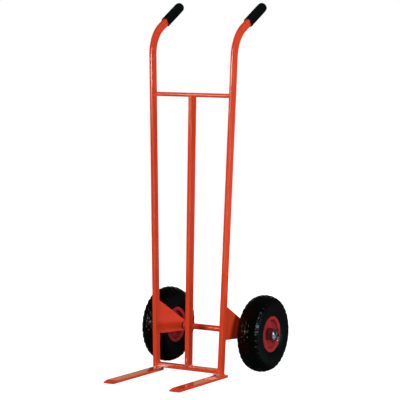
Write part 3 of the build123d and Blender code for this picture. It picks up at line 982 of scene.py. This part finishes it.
def makeBracketWeld(side, run):
    off = bracketWeld["off"]
    corner = Vector((bracketWeld["plateHalf"] + off, frameLine["halfDeep"] + off, 0))
    bm = bmesh.new()
    for low, high in bracketWeld["heights"]:
        run(bm, uprightAt(low) + corner, uprightAt(high) + corner, bracketWeld["radius"], (0, 1, 0))
    finishWeld(side + "BracketWeld", bm)


centreFootWeld = {
    "sides": {"radius": 2.2, "off": 0.5, "inside": 0.5, "lift": 0.5},
    "ends": {"radius": 1.9, "off": 1.1, "drop": 0.8},
}


def makeCentreFootWeld(run):
    half, barTop = frameLine["centreHalfWide"], frameLine["barTop"]
    middle = frameLine["foot"][1] + frameLine["lean"] * barTop
    front, back = middle - frameLine["halfDeep"], middle + frameLine["halfDeep"]
    bm = bmesh.new()
    bead = centreFootWeld["sides"]
    z = barTop + bead["lift"]
    for x in (-half - bead["off"], half + bead["off"]):
        run(bm, (x, front + bead["inside"], z), (x, back - bead["inside"], z), bead["radius"])
    bead = centreFootWeld["ends"]
    z -= bead["drop"]
    for y in (front - bead["off"], back + bead["off"]):
        run(bm, (-half, y, z), (half, y, z), bead["radius"])
    finishWeld("centreFootWeld", bm, weldGlintShadeFinish)


centreTopWeld = {"radius": 1.7, "off": 0.3, "runs": 6}


def makeCentreTopWeld(run):
    # short straight beads round the lower half of the bar
    half, off = frameLine["centreHalfWide"], centreTopWeld["off"]
    height, barRadius = frameLine["upperBar"]
    middle = frameLine["foot"][1] + frameLine["lean"] * height
    angles = [math.pi * (1 + k / centreTopWeld["runs"]) for k in range(centreTopWeld["runs"] + 1)]
    corners = [(middle + (barRadius + off) * math.cos(a), height + (barRadius + off) * math.sin(a))
               for a in angles]
    bm = bmesh.new()
    for x in (-half - off, half + off):
        for start, end in zip(corners, corners[1:]):
            run(bm, (x, *start), (x, *end), centreTopWeld["radius"], (1, 0, 0))
    finishWeld("centreTopWeld", bm)


for side, sign in sideSign.items():
    run = startRuns(sign)
    makeFootWelds(side, run)
    makeLowerBarWeld(side, run)
    makeUpperBarWeld(side)
    makeBracketWeld(side, run)
run = startRuns(0)
makeCentreFootWeld(run)
makeCentreTopWeld(run)
print("welds made")

# floor, room and lights

white = rgb((1, 1, 1))


def pickForCamera(tree, seen, lit):
    # the camera sees one shader, and the light in the room meets the other
    path = put(tree, "ShaderNodeLightPath", (0, 300))
    pick = put(tree, "ShaderNodeMixShader", (300, 0))
    tree.links.new(path.outputs["Is Camera Ray"], pick.inputs["Fac"])
    tree.links.new(lit.outputs[0], pick.inputs[1])
    tree.links.new(seen.outputs[0], pick.inputs[2])
    return pick.outputs[0]


floorLook = {
    "size": 40, "drop": 0.0003,
    "pale": (0.9, 0.9, 0.9), "glow": 1.42, "glowShare": 0.7,  # as the camera sees it
    "bounce": (0.07, 0.08, 0.085),
}


def makeFloor(look):
    bm = bmesh.new()
    bmesh.ops.create_grid(bm, x_segments=1, y_segments=1, size=look["size"] / 2)
    bmesh.ops.translate(bm, vec=(0, 0, -look["drop"]), verts=bm.verts[:])
    mesh = bpy.data.meshes.new("studioFloor")
    bm.to_mesh(mesh)
    bm.free()
    floor = bpy.data.objects.new("studioFloor", mesh)
    scene.collection.objects.link(floor)
    material = bpy.data.materials.new("paleFloor")
    tree = clearTree(material)
    pale = put(tree, "ShaderNodeBsdfDiffuse", (-400, 0), {"Color": rgb(look["pale"])})
    glow = put(tree, "ShaderNodeEmission", (-400, -150), {"Color": white, "Strength": look["glow"]})
    seen = put(tree, "ShaderNodeMixShader", (-100, 0), {"Fac": look["glowShare"]})
    tree.links.new(pale.outputs[0], seen.inputs[1])
    tree.links.new(glow.outputs[0], seen.inputs[2])
    bounce = put(tree, "ShaderNodeBsdfDiffuse", (-100, -200), {"Color": rgb(look["bounce"])})
    output = put(tree, "ShaderNodeOutputMaterial", (600, 0))
    tree.links.new(pickForCamera(tree, seen, bounce), output.inputs["Surface"])
    mesh.materials.append(material)


roomLook = {"horizon": 0.03, "overhead": 0.04, "overheadFrom": 0.8, "seen": 1}


def makeRoom(look):
    world = bpy.data.worlds.new("studioRoom")
    scene.world = world
    tree = clearTree(world)
    where = put(tree, "ShaderNodeTexCoord", (-800, 0))
    split = put(tree, "ShaderNodeSeparateXYZ", (-600, 0))
    tree.links.new(where.outputs["Generated"], split.inputs[0])
    strength = remap(tree, (-350, 0), split.outputs["Z"], look["horizon"], look["overhead"],
                     0, look["overheadFrom"])
    walls = put(tree, "ShaderNodeBackground", (0, 0), {"Color": white})
    tree.links.new(strength, walls.inputs["Strength"])
    seen = put(tree, "ShaderNodeBackground", (0, -200), {"Color": white, "Strength": look["seen"]})
    output = put(tree, "ShaderNodeOutputWorld", (600, 0))
    tree.links.new(pickForCamera(tree, seen, walls), output.inputs["Surface"])


# mirrored lights show in what is glossy, the others only light it

lightLook = {
    "keyPanel": {"place": (-4.93, -8.54, 1.37), "aim": (0, 0, 1.0), "size": (1.05, 1.0), "power": 70,
                 "colour": (1, 0.97, 0.78), "mirrored": True},
    "keyHigh": {"place": (-4.93, -8.54, 3.22), "aim": (0, 0, 1.0), "size": (1.05, 2.7), "power": 80,
                "colour": (1, 0.97, 0.78), "mirrored": True},
    "keyCard": {"place": (-4.93, -8.54, 0.70), "aim": (0, 0, 0.9), "size": (1.05, 0.32), "power": 8,
                "colour": (1, 0.9, 0.5), "mirrored": True},
    "frontCard": {"place": (-1.1, -2.8, 0.375), "aim": (0, 0, 0.375), "size": (0.6, 0.75), "power": 1.9,
                  "colour": (1, 1, 0.45), "mirrored": True},
    "sparkPanel": {"place": (-2.2, -1.27, 0.6), "aim": (0.1, 0, 0.15), "size": (0.15, 0.9), "power": 4.2,
                   "colour": (0.97, 1, 1), "mirrored": True},
    "frontFill": {"place": (1.05, -3.4, 0.7), "aim": (0, 0, 0.5), "size": (0.6, 0.6), "power": 70,
                  "colour": (0.97, 1, 0.85), "mirrored": False},
    "rightFill": {"place": (3.2, 0.1, 1.5), "aim": (0, 0, 0.5), "size": (0.75, 0.4), "power": 37,
                  "colour": (1, 0.98, 0.85), "mirrored": False},
    "rightPanel": {"place": (2.0, -0.54, 0.62), "aim": (0.2, 0.1, 0.4), "size": (0.2, 0.7), "power": 11,
                   "colour": (0.55, 0.94, 1.0), "mirrored": True},
    "rightSheet": {"place": (2.7, 0.25, 1.0), "aim": (0.2, 0.1, 0.4), "size": (0.6, 1.9), "power": 5,
                   "colour": (0.95, 0.98, 1.0), "mirrored": True},
    "floorGlow": {"place": (0.78, 1.25, 0.028), "aim": (0.55, 0.955, 0.955), "size": (0.5, 0.12), "power": 21,
                  "colour": (1, 0.9, 0.96), "mirrored": False},
    "rearFill": {"place": (-1.5, 3.1, 1.5), "aim": (0, 0, 0.5), "size": (1.0, 1.0), "power": 60,
                 "colour": (1, 0.98, 0.96), "mirrored": False},
    "rightGround": {"place": (1.1, 0.2, 0.003), "aim": (1.1, 0.2, 1), "size": (1.6, 0.26), "power": 0.35,
                    "colour": (0.75, 0.95, 1.0), "mirrored": True},
    "greyCard": {"place": (1.75, 2.95, 0.27), "aim": (0, 0, 0.3), "size": (1.4, 0.54), "power": 0.3,
                 "colour": (0.75, 0.6, 1.0), "mirrored": True},
    "backPanel": {"place": (-1.15, 1.95, 0.5), "aim": (0, 0, 0.2), "size": (1.8, 0.8), "power": 1.9,
                  "colour": (0.86, 0.88, 0.5), "mirrored": True},
    "topFill": {"place": (0.2, -0.6, 3.4), "aim": (0, 0, 0), "size": (1.6, 1.6), "power": 28,
                "colour": (1, 1, 1), "mirrored": False},
}


def makeLight(name, look):
    data = bpy.data.lights.new(name, "AREA")
    data.shape = "RECTANGLE"
    data.size, data.size_y = look["size"]
    data.energy = look["power"]
    data.color = look["colour"]
    light = bpy.data.objects.new(name, data)
    light.location = look["place"]
    toward = Vector(look["aim"]) - Vector(look["place"])
    light.rotation_euler = toward.to_track_quat("-Z", "Y").to_euler()
    light.visible_camera = False
    light.visible_glossy = look["mirrored"]
    scene.collection.objects.link(light)


makeFloor(floorLook)
makeRoom(roomLook)
for name, look in lightLook.items():
    makeLight(name, look)
print("floor, room and lights made")
